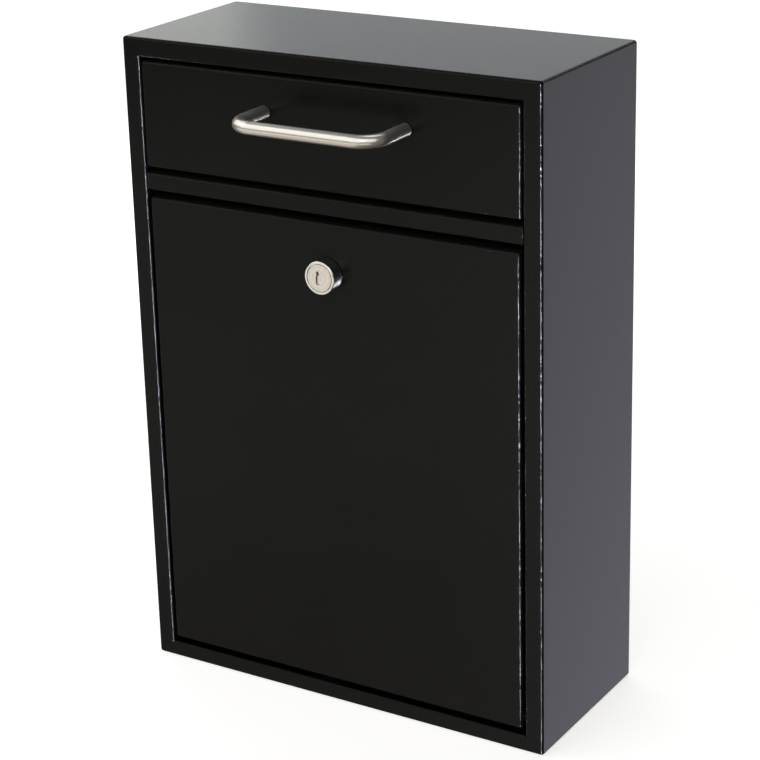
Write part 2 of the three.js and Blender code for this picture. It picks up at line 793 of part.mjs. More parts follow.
function lockGroup() {
  const lock = new THREE.Group();
  lock.position.set(0, -pivotDepth, lockZ - doorPivotZ);
  lock.add(named('lock_housing', chromedZinc, lockHousing()));
  lock.add(named('lock_plug', nickelSilver, lockPlug()));
  lock.add(place(named('keyway_shutter', chromedZinc, keywayShutter()), 0, lockFace + shutterSetback, 0));
  for (let i = 0; i < waferCount; i += 1) {
    lock.add(place(named(`lock_wafer_${i + 1}`, brass, lockWafer(i)), 0, waferPlace(i), 0));
  }
  const ring = washer(lockBarrelRadius + gap, nutAcrossFlats / 2, lockWasherThickness);
  lock.add(place(named('lock_washer', zincPlate, ring), 0, sheet + gap, 0));
  const nutY = sheet + gap + lockWasherThickness + gap;
  lock.add(place(named('lock_nut', zincPlate, lockNut()), 0, nutY, 0));
  lock.add(place(named('lock_cam', zincPlate, lockCam()), 0, camFront, 0));
  const camRing = washer(camScrewRadius + screwClearance, camWasherRadius, washerThickness);
  lock.add(place(named('cam_washer', zincPlate, camRing), 0, plugLength + gap, 0));
  const headY = plugLength + gap + washerThickness + gap;
  const boltLength = headY - plugLength + camScrewBite;
  const bolt = screw(camScrewRadius, camScrewHeadRadius, camScrewHeadHeight, boltLength);
  lock.add(place(named('cam_screw', zincPlate, bolt), 0, headY, 0));
  return lock;
}

function accessDoorGroup() {
  const door = new THREE.Group();
  door.position.set(0, pivotY, doorPivotZ);
  door.add(named('access_door_panel', powderCoat, accessDoorPanel()));
  door.add(lockGroup());
  return door;
}

const dropBox = new THREE.Group();
dropBox.add(cabinetGroup());
dropBox.add(hopperGroup());
dropBox.add(accessDoorGroup());

export default dropBox;
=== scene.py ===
import bmesh
import bpy
import json
from math import acos, asin, cos, degrees, pi, radians, sin, sqrt, tan
from mathutils import Matrix, Vector

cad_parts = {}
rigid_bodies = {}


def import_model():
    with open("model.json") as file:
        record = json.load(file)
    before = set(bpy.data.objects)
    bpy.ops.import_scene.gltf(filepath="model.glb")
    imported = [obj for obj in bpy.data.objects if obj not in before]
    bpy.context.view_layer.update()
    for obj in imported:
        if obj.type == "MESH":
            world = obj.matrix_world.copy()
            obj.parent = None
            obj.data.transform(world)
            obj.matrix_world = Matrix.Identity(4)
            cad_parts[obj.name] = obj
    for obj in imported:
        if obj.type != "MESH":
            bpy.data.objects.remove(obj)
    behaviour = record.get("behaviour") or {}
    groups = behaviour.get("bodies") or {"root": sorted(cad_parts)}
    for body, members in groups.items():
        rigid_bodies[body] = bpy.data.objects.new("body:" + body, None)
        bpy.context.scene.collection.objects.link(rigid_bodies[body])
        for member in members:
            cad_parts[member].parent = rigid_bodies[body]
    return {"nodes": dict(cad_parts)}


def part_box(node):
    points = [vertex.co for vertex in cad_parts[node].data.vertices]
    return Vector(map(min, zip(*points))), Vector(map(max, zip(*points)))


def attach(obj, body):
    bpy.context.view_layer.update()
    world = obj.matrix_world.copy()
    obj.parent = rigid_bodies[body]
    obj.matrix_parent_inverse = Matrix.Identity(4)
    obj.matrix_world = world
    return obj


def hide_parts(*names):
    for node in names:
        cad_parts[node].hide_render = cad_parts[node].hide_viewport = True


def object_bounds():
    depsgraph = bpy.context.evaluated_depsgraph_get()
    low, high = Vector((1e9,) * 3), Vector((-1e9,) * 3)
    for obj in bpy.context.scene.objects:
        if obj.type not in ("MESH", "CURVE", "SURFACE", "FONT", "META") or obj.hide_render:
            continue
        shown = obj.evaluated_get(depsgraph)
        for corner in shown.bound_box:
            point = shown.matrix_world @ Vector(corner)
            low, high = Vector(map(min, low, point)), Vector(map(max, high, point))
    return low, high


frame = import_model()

cadLow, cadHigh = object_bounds()

mm = 0.001
cadGap = 0.3     # mm, what the CAD leaves between faces that touch
toolReach = 3    # mm, how far a cutting tool runs past what it cuts

scene = bpy.context.scene
scene.view_settings.view_transform = "Standard"  # whites stay white and blacks stay black


# Small helpers

def linear(hexColour):
    # sRGB hex to the linear colour that nodes expect
    channels = [int(hexColour[i:i + 2], 16) / 255 for i in (1, 3, 5)]
    return (*[c / 12.92 if c <= 0.04045 else ((c + 0.055) / 1.055) ** 2.4 for c in channels], 1)


def addNode(tree, kind, settings=None, links=None):
    # Settings name an input socket (or its number) or else a property of the node
    node = tree.nodes.new(kind)
    for name, value in (settings or {}).items():
        if isinstance(name, int) or name in node.inputs:
            node.inputs[name].default_value = value
        else:
            setattr(node, name, value)
    for name, source in (links or {}).items():
        tree.links.new(source, node.inputs[name])
    return node


def newMaterial(name):
    material = bpy.data.materials.new(name)
    material.use_nodes = True
    material.node_tree.nodes.clear()
    return material, material.node_tree


def perMm(size):
    # How many times a pattern of this size in mm repeats in a metre
    return 1 / (size * mm)


def cadBox(node):
    low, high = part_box(node)
    return low / mm, high / mm


# Materials: a colour mix takes its two colours at sockets 6 and 7 and gives the result at output 2

noiseLow, noiseHigh = 0.3, 0.7  # nearly all of a noise texture's values lie between these

powderCoat = {
    "colour": "#0c0c0b",
    "thinColour": "#131311",
    "roughness": (0.15, 0.23),
    "facing": 0.09,       # how much it reflects head on, against 0.5 for a smooth gloss
    "grainSize": 0.7,     # mm, the fine texture; drawn about twice as coarse as the real one
    "grainDepth": 0.08,   # mm, for the full swing of the noise, which it rarely reaches
    "beadSize": 1,        # mm, the beads that the film draws up into along the outside of a bend
    "beadDepth": 0.28,
    "bendStarts": 0.995,  # the largest part of the normal where the beads begin
    "bendFull": 0.94,     # and where they are at their deepest
    "peelSize": 1.7,      # mm, the orange peel of the baked film
    "peelDepth": 0.06,
    "cloudSize": 55,      # mm, slow changes in film thickness
}


def makePowderCoat(look):
    # Fine-texture black powder coat, sprayed and baked on steel: a dense black film with a soft sheen,
    # almost no reflection head on, a bright one at grazing angles, and beads along the bends
    # that break their glints into dots
    material, tree = newMaterial("powderCoatBlackFineTexture")
    coordinates = addNode(tree, "ShaderNodeTexCoord")
    place = coordinates.outputs["Object"]
    cloud = addNode(tree, "ShaderNodeTexNoise",
                    {"Scale": perMm(look["cloudSize"]), "Detail": 3},
                    {"Vector": place})
    peel = addNode(tree, "ShaderNodeTexNoise",
                   {"Scale": perMm(look["peelSize"]), "Detail": 1},
                   {"Vector": place})
    grain = addNode(tree, "ShaderNodeTexNoise",
                    {"Scale": perMm(look["grainSize"]), "Detail": 2, "Roughness": 0.6},
                    {"Vector": place})
    colour = addNode(tree, "ShaderNodeMix",
                     {"data_type": "RGBA", 6: linear(look["colour"]), 7: linear(look["thinColour"])},
                     {0: cloud.outputs["Fac"]})
    sheen = addNode(tree, "ShaderNodeMapRange",
                    {"From Min": noiseLow, "From Max": noiseHigh,
                     "To Min": look["roughness"][0], "To Max": look["roughness"][1]},
                    {"Value": grain.outputs["Fac"]})
    # The flat sheet faces along an axis, so the largest part of the normal is below 1 only where it bends
    facing = addNode(tree, "ShaderNodeVectorMath",
                     {"operation": "ABSOLUTE"},
                     {0: coordinates.outputs["Normal"]})
    parts = addNode(tree, "ShaderNodeSeparateXYZ", None, {0: facing.outputs["Vector"]})
    larger = addNode(tree, "ShaderNodeMath",
                     {"operation": "MAXIMUM"},
                     {0: parts.outputs["X"], 1: parts.outputs["Y"]})
    largest = addNode(tree, "ShaderNodeMath",
                      {"operation": "MAXIMUM"},
                      {0: larger.outputs[0], 1: parts.outputs["Z"]})
    onBend = addNode(tree, "ShaderNodeMapRange",
                     {"From Min": look["bendStarts"], "From Max": look["bendFull"]},
                     {"Value": largest.outputs[0]})
    bead = addNode(tree, "ShaderNodeTexNoise",
                   {"Scale": perMm(look["beadSize"]), "Detail": 0},
                   {"Vector": place})
    beadHeight = addNode(tree, "ShaderNodeMath",
                         {"operation": "MULTIPLY"},
                         {0: bead.outputs["Fac"], 1: onBend.outputs["Result"]})
    beadBump = addNode(tree, "ShaderNodeBump",
                       {"Distance": look["beadDepth"] * mm},
                       {"Height": beadHeight.outputs[0]})
    peelBump = addNode(tree, "ShaderNodeBump", {"Distance": look["peelDepth"] * mm},
                       {"Height": peel.outputs["Fac"], "Normal": beadBump.outputs["Normal"]})
    grainBump = addNode(tree, "ShaderNodeBump", {"Distance": look["grainDepth"] * mm},
                        {"Height": grain.outputs["Fac"], "Normal": peelBump.outputs["Normal"]})
    paint = addNode(tree, "ShaderNodeBsdfPrincipled", {"IOR": 1.5, "Specular IOR Level": look["facing"]},
                    {"Base Color": colour.outputs[2], "Roughness": sheen.outputs["Result"],
                     "Normal": grainBump.outputs["Normal"]})
    addNode(tree, "ShaderNodeOutputMaterial", None, {"Surface": paint.outputs["BSDF"]})
    return material


satinStainless = {
    "colour": "#d9d6ce",
    "darkColour": "#c4bfb5",
    "roughness": (0.17, 0.25),
    "lineSize": 0.35,    # mm across the polishing lines
    "lineLength": 14,    # mm along them
    "lineDepth": 0.015,
    "haze": 0.28,        # share of the light that the finish scatters widely
    "hazeRoughness": 0.55,
}


def makeSatinStainless(look):
    # Stainless rod polished lengthways with a fine belt: long soft highlights with faint lines in them
    material, tree = newMaterial("stainlessSteelSatinPolished")
    place = addNode(tree, "ShaderNodeTexCoord").outputs["Object"]
    along, across = perMm(look["lineLength"]), perMm(look["lineSize"])
    stretched = addNode(tree, "ShaderNodeMapping", {"Scale": (along, across, across)}, {"Vector": place})
    lines = addNode(tree, "ShaderNodeTexNoise", {"Scale": 1, "Detail": 4, "Roughness": 0.65},
                    {"Vector": stretched.outputs["Vector"]})
    colour = addNode(tree, "ShaderNodeMix",
                     {"data_type": "RGBA", 6: linear(look["colour"]), 7: linear(look["darkColour"])},
                     {0: lines.outputs["Fac"]})
    sheen = addNode(tree, "ShaderNodeMapRange",
                    {"From Min": noiseLow, "From Max": noiseHigh,
                     "To Min": look["roughness"][0], "To Max": look["roughness"][1]},
                    {"Value": lines.outputs["Fac"]})
    bump = addNode(tree, "ShaderNodeBump",
                   {"Distance": look["lineDepth"] * mm},
                   {"Height": lines.outputs["Fac"]})
    steel = addNode(tree, "ShaderNodeBsdfPrincipled", {"Metallic": 1},
                    {"Base Color": colour.outputs[2], "Roughness": sheen.outputs["Result"],
                     "Normal": bump.outputs["Normal"]})
    haze = addNode(tree, "ShaderNodeBsdfPrincipled", {"Metallic": 1, "Roughness": look["hazeRoughness"]},
                   {"Base Color": colour.outputs[2], "Normal": bump.outputs["Normal"]})
    finish = addNode(tree, "ShaderNodeMixShader",
                     {0: look["haze"]},
                     {1: steel.outputs["BSDF"], 2: haze.outputs["BSDF"]})
    addNode(tree, "ShaderNodeOutputMaterial", None, {"Surface": finish.outputs["Shader"]})
    return material


chromedZinc = {
    "colour": "#dcdcd8",
    "roughness": (0.08, 0.14),
    "rippleSize": 2.5,    # mm
    "rippleDepth": 0.03,
}


def makeChromedZinc(look):
    # Zinc die casting, buffed and chromed: near-mirror reflections that waver a little
    material, tree = newMaterial("zincDieCastChromed")
    place = addNode(tree, "ShaderNodeTexCoord").outputs["Object"]
    ripple = addNode(tree, "ShaderNodeTexNoise",
                     {"Scale": perMm(look["rippleSize"]), "Detail": 2},
                     {"Vector": place})
    sheen = addNode(tree, "ShaderNodeMapRange",
                    {"To Min": look["roughness"][0], "To Max": look["roughness"][1]},
                    {"Value": ripple.outputs["Fac"]})
    bump = addNode(tree, "ShaderNodeBump",
                   {"Distance": look["rippleDepth"] * mm},
                   {"Height": ripple.outputs["Fac"]})
    chrome = addNode(tree, "ShaderNodeBsdfPrincipled",
                     {"Metallic": 1, "Base Color": linear(look["colour"])},
                     {"Roughness": sheen.outputs["Result"], "Normal": bump.outputs["Normal"]})
    addNode(tree, "ShaderNodeOutputMaterial", None, {"Surface": chrome.outputs["BSDF"]})
    return material


nickelSilver = {
    "colour": "#d8d1cd",
    "darkColour": "#d2cbc6",
    "roughness": (0.24, 0.34),
    "ringSize": 0.45,    # mm between turning marks; drawn about four times as coarse as the real ones
    "ringDepth": 0.003,
}


def makeNickelSilver(look, axisX, axisZ):
    # Nickel silver bar, faced in a lathe: a warm silver face with faint rings round its axis
    waveRepeats = 20    # what the wave texture multiplies its scale by
    material, tree = newMaterial("nickelSilverTurned")
    place = addNode(tree, "ShaderNodeTexCoord").outputs["Object"]
    centred = addNode(tree, "ShaderNodeMapping",
                      {"Location": (-axisX * mm, 0, -axisZ * mm)},
                      {"Vector": place})
    rings = addNode(tree, "ShaderNodeTexWave",
                    {"wave_type": "RINGS", "rings_direction": "Y",
                     "Scale": perMm(look["ringSize"]) / waveRepeats, "Distortion": 0.6, "Detail": 2},
                    {"Vector": centred.outputs["Vector"]})
    colour = addNode(tree, "ShaderNodeMix",
                     {"data_type": "RGBA", 6: linear(look["colour"]), 7: linear(look["darkColour"])},
                     {0: rings.outputs["Fac"]})
    sheen = addNode(tree, "ShaderNodeMapRange",
                    {"To Min": look["roughness"][0], "To Max": look["roughness"][1]},
                    {"Value": rings.outputs["Fac"]})
    bump = addNode(tree, "ShaderNodeBump",
                   {"Distance": look["ringDepth"] * mm},
                   {"Height": rings.outputs["Fac"]})
    alloy = addNode(tree, "ShaderNodeBsdfPrincipled", {"Metallic": 1},
                    {"Base Color": colour.outputs[2], "Roughness": sheen.outputs["Result"],
                     "Normal": bump.outputs["Normal"]})
    addNode(tree, "ShaderNodeOutputMaterial", None, {"Surface": alloy.outputs["BSDF"]})
    return material


def makePlainMetal(name, look):
    # Small stamped or turned parts: a mottled finish with a slight unevenness
    material, tree = newMaterial(name)
    place = addNode(tree, "ShaderNodeTexCoord").outputs["Object"]
    mottle = addNode(tree, "ShaderNodeTexNoise",
                     {"Scale": perMm(look["mottleSize"]), "Detail": 4},
                     {"Vector": place})
    colour = addNode(tree, "ShaderNodeMix",
                     {"data_type": "RGBA", 6: linear(look["colour"]), 7: linear(look["otherColour"])},
                     {0: mottle.outputs["Fac"]})
    sheen = addNode(tree, "ShaderNodeMapRange",
                    {"From Min": noiseLow, "From Max": noiseHigh,
                     "To Min": look["roughness"][0], "To Max": look["roughness"][1]},
                    {"Value": mottle.outputs["Fac"]})
    bump = addNode(tree, "ShaderNodeBump",
                   {"Distance": look["mottleDepth"] * mm},
                   {"Height": mottle.outputs["Fac"]})
    metal = addNode(tree, "ShaderNodeBsdfPrincipled", {"Metallic": 1},
                    {"Base Color": colour.outputs[2], "Roughness": sheen.outputs["Result"],
                     "Normal": bump.outputs["Normal"]})
    addNode(tree, "ShaderNodeOutputMaterial", None, {"Surface": metal.outputs["BSDF"]})
    return material


# Bright zinc plate with a clear passivation: pale metal with faint blue and yellow clouds
zincPlate = {
    "colour": "#b4bcc4",
    "otherColour": "#c2bfae",
    "roughness": (0.26, 0.4),
    "mottleSize": 3,      # mm
    "mottleDepth": 0.02,
}

# Brass strip, stamped: warm yellow, a little duller where the die pressed
waferBrass = {
    "colour": "#c7a45a",
    "otherColour": "#a9853f",
    "roughness": (0.28, 0.42),
    "mottleSize": 1.5,    # mm
    "mottleDepth": 0.02,
}

bumperRubber = {
    "colour": "#141414",
    "otherColour": "#1d1c1b",
    "roughness": 0.82,
    "grainSize": 0.5,     # mm
    "grainDepth": 0.1,
}


def makeBumperRubber(look):
    # Moulded black rubber: dull, with a faint bloom
    material, tree = newMaterial("rubberMouldedBlack")
    place = addNode(tree, "ShaderNodeTexCoord").outputs["Object"]
    grain = addNode(tree, "ShaderNodeTexNoise",
                    {"Scale": perMm(look["grainSize"]), "Detail": 3},
                    {"Vector": place})
    colour = addNode(tree, "ShaderNodeMix",
                     {"data_type": "RGBA", 6: linear(look["colour"]), 7: linear(look["otherColour"])},
                     {0: grain.outputs["Fac"]})
    bump = addNode(tree, "ShaderNodeBump",
                   {"Distance": look["grainDepth"] * mm},
                   {"Height": grain.outputs["Fac"]})
    rubber = addNode(tree, "ShaderNodeBsdfPrincipled", {"Roughness": look["roughness"], "IOR": 1.52},
                     {"Base Color": colour.outputs[2], "Normal": bump.outputs["Normal"]})
    addNode(tree, "ShaderNodeOutputMaterial", None, {"Surface": rubber.outputs["BSDF"]})
    return material


headLow, headHigh = cadBox("lock_housing")
lockX, lockZ = 0, (headLow.z + headHigh.z) / 2

finishes = {
    "powder_coated_steel": makePowderCoat(powderCoat),
    "satin_stainless": makeSatinStainless(satinStainless),
    "chromed_zinc": makeChromedZinc(chromedZinc),
    "nickel_silver": makeNickelSilver(nickelSilver, lockX, lockZ),
    "zinc_plate": makePlainMetal("steelZincPlatedBright", zincPlate),
    "wafer_brass": makePlainMetal("brassStamped", waferBrass),
    "black_rubber": makeBumperRubber(bumperRubber),
}
print("materials:", ", ".join(m.name for m in finishes.values()))


# Mesh work: meshes are drawn in millimetres in the part's own frame and scaled down once, in finishPiece

def meshFromFaces(faces):
    # Faces are lists of (x, y, z); corners in the same place become one vertex
    bm = bmesh.new()
    for corners in faces:
        bm.faces.new([bm.verts.new(corner) for corner in corners])
    bmesh.ops.remove_doubles(bm, verts=bm.verts, dist=0.001)
    return bm


def prism(outline, axis, start, end):
    # A closed outline of (a, b) points drawn out along X, Y or Z
    def spot(a, b, c):
        return {"X": (c, a, b), "Y": (a, c, b), "Z": (a, b, c)}[axis]
    bm = bmesh.new()
    near = [bm.verts.new(spot(a, b, start)) for a, b in outline]
    far = [bm.verts.new(spot(a, b, end)) for a, b in outline]
    bm.faces.new(near)
    bm.faces.new(far)
    for i in range(len(outline)):
        j = (i + 1) % len(outline)
        bm.faces.new([near[i], near[j], far[j], far[i]])
    bmesh.ops.recalc_face_normals(bm, faces=bm.faces)
    return bm


def arc(centreA, centreB, radius, startDegrees, endDegrees, steps):
    span = endDegrees - startDegrees
    angles = [radians(startDegrees + span * i / steps) for i in range(steps + 1)]
    return [(centreA + radius * cos(a), centreB + radius * sin(a)) for a in angles]


def circle(centreA, centreB, radius, sides):
    return arc(centreA, centreB, radius, 0, 360 - 360 / sides, sides - 1)


def turned(profile, centreX, centreZ, sides):
    # A profile of (radius, y) points, from axis to axis or closed on itself, turned round a line along Y
    bm = bmesh.new()
    rings = []
    for radius, y in profile:
        if radius == 0:
            rings.append([bm.verts.new((centreX, y, centreZ))])
            continue
        rings.append([bm.verts.new((x, y, z)) for x, z in circle(centreX, centreZ, radius, sides)])
    startsOnAxis = len(rings[0]) == 1
    pairs = zip(rings, rings[1:] if startsOnAxis else rings[1:] + rings[:1])
    for first, second in pairs:
        for k in range(sides):
            n = (k + 1) % sides
            corners = [first[k % len(first)], first[n % len(first)],
                       second[n % len(second)], second[k % len(second)]]
            bm.faces.new(list(dict.fromkeys(corners)))    # a corner on the axis counts once
    bmesh.ops.recalc_face_normals(bm, faces=bm.faces)
    return bm


def addObject(name, bm):
    mesh = bpy.data.meshes.new(name)
    bm.to_mesh(mesh)
    bm.free()
    piece = bpy.data.objects.new(name, mesh)
    scene.collection.objects.link(piece)
    return piece


def applyModifiers(piece):
    bpy.context.view_layer.update()
    made = bpy.data.meshes.new_from_object(piece.evaluated_get(bpy.context.evaluated_depsgraph_get()))
    piece.modifiers.clear()
    piece.data = made


def cutWith(piece, *tools, operation="DIFFERENCE"):
    # Tools are bmeshes; they are used up
    for tool in tools:
        cutter = addObject("cutter", tool)
        trim = piece.modifiers.new("cut", "BOOLEAN")
        trim.operation = operation
        trim.object = cutter
        trim.solver = "EXACT"
        applyModifiers(piece)
        bpy.data.objects.remove(cutter)


def roundEdges(piece, width, segments=2, angle=40):
    # Eases every edge sharper than the angle
    rounding = piece.modifiers.new("rounded edges", "BEVEL")
    rounding.width = width
    rounding.segments = segments
    rounding.limit_method = "ANGLE"
    rounding.angle_limit = radians(angle)
    rounding.use_clamp_overlap = True


def smoothFaces(piece, angle=50):
    mesh = piece.data
    mesh.polygons.foreach_set("use_smooth", [True] * len(mesh.polygons))
    mesh.set_sharp_from_angle(angle=radians(angle))
    weighted = piece.modifiers.new("even shading", "WEIGHTED_NORMAL")
    weighted.keep_sharp = True
    weighted.weight = 80


def finishPiece(piece, body, slot, *nodes):
    # Scales the drawing to metres, smooths it and puts it in the frame
    applyModifiers(piece)
    piece.data.transform(Matrix.Scale(mm, 4))
    smoothFaces(piece)
    piece.data.materials.clear()
    piece.data.materials.append(finishes[slot])
    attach(piece, body)
    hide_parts(*nodes)
    return piece


sheetWork = {
    "leastFold": 10,    # degrees, a flatter joint isn't a fold
    "foldSteps": 6,
    "cutEdge": 0.12,    # how far the cut edges are eased
}


def foldedSheet(name, faces, sheet, bend):
    # Sheet metal drawn as its outer skin: every outward fold between two faces gets the bend radius,
    # then the skin is thickened inwards and its cut edges are eased
    bm = meshFromFaces(faces)
    weight = bm.edges.layers.float.new("bevel_weight_edge")
    for edge in bm.edges:
        bent = len(edge.link_faces) == 2 and edge.calc_face_angle(0) > radians(sheetWork["leastFold"])
        outside = bent and edge.calc_face_angle_signed(0) > 0
        edge[weight] = 1 if outside else 0
    piece = addObject(name, bm)
    fold = piece.modifiers.new("folds", "BEVEL")
    fold.width = bend
    fold.segments = sheetWork["foldSteps"]
    fold.limit_method = "WEIGHT"
    fold.use_clamp_overlap = False
    thick = piece.modifiers.new("sheet", "SOLIDIFY")
    thick.thickness = sheet
    thick.offset = -1
    thick.use_even_offset = True
    roundEdges(piece, sheetWork["cutEdge"], segments=1, angle=60)
    applyModifiers(piece)
    return piece


def loopFaces(outer, inner):
    # The flat ring between a rectangle's four corners and an inner loop given as four runs of points
    faces = []
    for i in range(4):
        j = (i + 1) % 4
        faces.append([outer[i], outer[j], inner[j][0], inner[i][-1]])
        for a, b in zip(inner[i], inner[i][1:]):
            faces.append([outer[i], b, a])
    return faces


def rod(axis, radius, start, end, a, b, sides=32):
    return prism(circle(a, b, radius, sides), axis, start, end)


def rectangle(lowA, lowB, highA, highB):
    return [(lowA, lowB), (highA, lowB), (highA, highB), (lowA, highB)]


# Cabinet

cabinet = {
    "sheet": 1.2,
    "bend": 2,
    "sideFlange": 12.4,
    "topFlange": 12.2,
    "bottomFlange": 10.7,
    "rearFlange": 12,
    "rearCorner": 5,
    "rearCornerSteps": 6,
    "pinHole": 2.8,         # this and the next three are radii
    "keyholeHead": 4.5,
    "keyholeSlot": 2.4,
    "lowerFixing": 3.2,
    "keyholeRise": 9,
    "keyholeFromTop": 42,
    "fixingSpacing": 180,
    "lowerFixingHeight": 45,
}

wrapLow, wrapHigh = cadBox("cabinet_wrap")
railLow, railHigh = cadBox("divider_rail")
pivotLow, pivotHigh = cadBox("hopper_pin_left")
doorPivotLow, doorPivotHigh = cadBox("door_pin_left")
openHalf = wrapHigh.x - cabinet["sideFlange"]
openTop = wrapHigh.z - cabinet["topFlange"]
openLow = cabinet["bottomFlange"]
lipRear = cadBox("door_bumper_left")[1].y    # the lips reach as far back as the door's bumpers
pivotY = (pivotLow.y + pivotHigh.y) / 2
hopperPivotZ = (pivotLow.z + pivotHigh.z) / 2
doorPivotZ = (doorPivotLow.z + doorPivotHigh.z) / 2


def makeCabinetShell():
    x, front, back, top = wrapHigh.x, wrapLow.y, wrapHigh.y, wrapHigh.z
    flange, corner = cabinet["rearFlange"], cabinet["rearCorner"]
    faces = [
        [(-x, front, 0), (-x, front, top), (-x, back, top), (-x, back, 0)],
        [(x, front, 0), (x, back, 0), (x, back, top), (x, front, top)],
        [(-x, front, top), (x, front, top), (x, back, top), (-x, back, top)],
        [(-x, front, 0), (-x, back, 0), (x, back, 0), (x, front, 0)],
        # front flanges
        [(-x, front, 0), (x, front, 0), (openHalf, front, openLow), (-openHalf, front, openLow)],
        [(x, front, 0), (x, front, top), (openHalf, front, openTop), (openHalf, front, openLow)],
        [(x, front, top), (-x, front, top), (-openHalf, front, openTop), (openHalf, front, openTop)],
        [(-x, front, top), (-x, front, 0), (-openHalf, front, openLow), (-openHalf, front, openTop)],
        # lips turned in round the opening's sides and top
        [(-openHalf, front, openLow), (-openHalf, lipRear, openLow),
         (-openHalf, lipRear, openTop), (-openHalf, front, openTop)],
        [(openHalf, front, openTop), (openHalf, lipRear, openTop),
         (openHalf, lipRear, openLow), (openHalf, front, openLow)],
        [(-openHalf, front, openTop), (-openHalf, lipRear, openTop),
         (openHalf, lipRear, openTop), (openHalf, front, openTop)],
    ]
    outer = [(x, back, 0), (-x, back, 0), (-x, back, top), (x, back, top)]
    across, low, high = x - flange - corner, flange + corner, top - flange - corner
    quarters = [(across, low, 360), (-across, low, 270), (-across, high, 180), (across, high, 90)]
    runs = [arc(a, b, corner, start, start - 90, cabinet["rearCornerSteps"]) for a, b, start in quarters]
    faces += loopFaces(outer, [[(a, back, b) for a, b in run] for run in runs])
    shell = foldedSheet("cabinet_shell", faces, cabinet["sheet"], cabinet["bend"])
    for side in (-1, 1):
        for z in (hopperPivotZ, doorPivotZ):
            near, far = side * (openHalf - toolReach), side * (openHalf + toolReach)
            cutWith(shell, rod("X", cabinet["pinHole"], near, far, pivotY, z))
    return finishPiece(shell, "cabinet", "powder_coated_steel", "cabinet_wrap")


def makeDividerRail():
    # A channel, open at the back, whose ends are welded to the side flanges
    x, front, rear = railHigh.x + cadGap, railLow.y, railHigh.y
    low, high = railLow.z, railHigh.z
    faces = [
        [(-x, front, low), (x, front, low), (x, front, high), (-x, front, high)],
        [(-x, front, high), (x, front, high), (x, rear, high), (-x, rear, high)],
        [(-x, rear, low), (x, rear, low), (x, front, low), (-x, front, low)],
    ]
    rail = foldedSheet("door_divider_rail", faces, cabinet["sheet"], cabinet["bend"])
    return finishPiece(rail, "cabinet", "powder_coated_steel", "divider_rail")


def makeBackPlate():
    low, high = cadBox("back_panel")
    plate = addObject("wall_plate", prism(rectangle(low.x, low.z, high.x, high.z), "Y", low.y, high.y))
    near, far = low.y - toolReach, high.y + toolReach
    head, slot = cabinet["keyholeHead"], cabinet["keyholeSlot"]
    shoulder = degrees(acos(slot / head))    # where the slot leaves the keyhole's round head
    for side in (-1, 1):
        x, z = side * cabinet["fixingSpacing"] / 2, wrapHigh.z - cabinet["keyholeFromTop"]
        keyhole = arc(x, z, head, 180 - shoulder, 360 + shoulder, 28)
        keyhole += arc(x, z + cabinet["keyholeRise"], slot, 0, 180, 12)
        fixing = rod("Y", cabinet["lowerFixing"], near, far, x, cabinet["lowerFixingHeight"])
        cutWith(plate, prism(keyhole, "Y", near, far), fixing)
    roundEdges(plate, sheetWork["cutEdge"], segments=1)
    return finishPiece(plate, "cabinet", "powder_coated_steel", "back_panel")


makeCabinetShell()
makeDividerRail()
makeBackPlate()
print("cabinet: shell, rail and wall plate")


# Doors

def makeDoor(name, node, body, pivotZ, extraHoles):
    low, high = cadBox(node)
    x, front, rear = high.x, low.y, high.y
    faces = [
        [(-x, front, low.z), (x, front, low.z), (x, front, high.z), (-x, front, high.z)],
        [(-x, front, high.z), (x, front, high.z), (x, rear, high.z), (-x, rear, high.z)],
        [(-x, rear, low.z), (x, rear, low.z), (x, front, low.z), (-x, front, low.z)],
        [(-x, front, low.z), (-x, front, high.z), (-x, rear, high.z), (-x, rear, low.z)],
        [(x, front, high.z), (x, front, low.z), (x, rear, low.z), (x, rear, high.z)],
    ]
    door = foldedSheet(name, faces, cabinet["sheet"], cabinet["bend"])
    for side in (-1, 1):
        near, far = side * (x - toolReach), side * (x + toolReach)
        cutWith(door, rod("X", cabinet["pinHole"], near, far, pivotY, pivotZ))
    cutWith(door, *extraHoles)
    return finishPiece(door, body, "powder_coated_steel", node)


handleLow, handleHigh = cadBox("pull_handle")
handle = {
    "rod": handleHigh.z - handleLow.z,
    "bend": 14,
    "bendSteps": 16,
    "screwHole": 2.3,
    "tipRoom": 1,     # how far the screw's hole runs on past its tip
    "rim": 0.5,       # how far the rod's cut ends are eased
    "sides": 48,
}
postHalf = (handleHigh.x - handleLow.x - handle["rod"]) / 2
handleX = (handleHigh.x + handleLow.x) / 2
handleZ = (handleHigh.z + handleLow.z) / 2

lock = {
    "barrel": 8,          # radius
    "flats": 7,           # half the width over the flats
    "holeClearance": 0.3,
    "headRound": 0.75,
    "rimInside": 8.6,     # radius of the recess that holds the plug's head
    "rimRound": 0.3,
    "recess": 1.8,
    "bore": 6.1,          # radius
    "overlap": 0.5,       # how far the barrel reaches into the head
    "threadPitch": 1,
    "threadDepth": 0.45,
}


def barrelOutline(clearance):
    # A circle with a flat on each side
    radius, half = lock["barrel"] + clearance, lock["flats"] + clearance
    corner = degrees(acos(half / radius))
    upper = arc(lockX, lockZ, radius, corner, 180 - corner, 24)
    return upper + arc(lockX, lockZ, radius, 180 + corner, 360 - corner, 24)


doorFront = wrapLow.y
near, far = doorFront - toolReach, doorFront + toolReach
screwHoles = [rod("Y", handle["screwHole"], near, far, handleX + side * postHalf, handleZ)
              for side in (-1, 1)]
lockHole = prism(barrelOutline(lock["holeClearance"]), "Y", near, far)
makeDoor("hopper_door", "hopper_panel", "hopper", hopperPivotZ, screwHoles)
makeDoor("access_door_face", "access_door_panel", "access_door", doorPivotZ, [lockHole])
print("doors: hopper door and access door")


# Hopper pocket

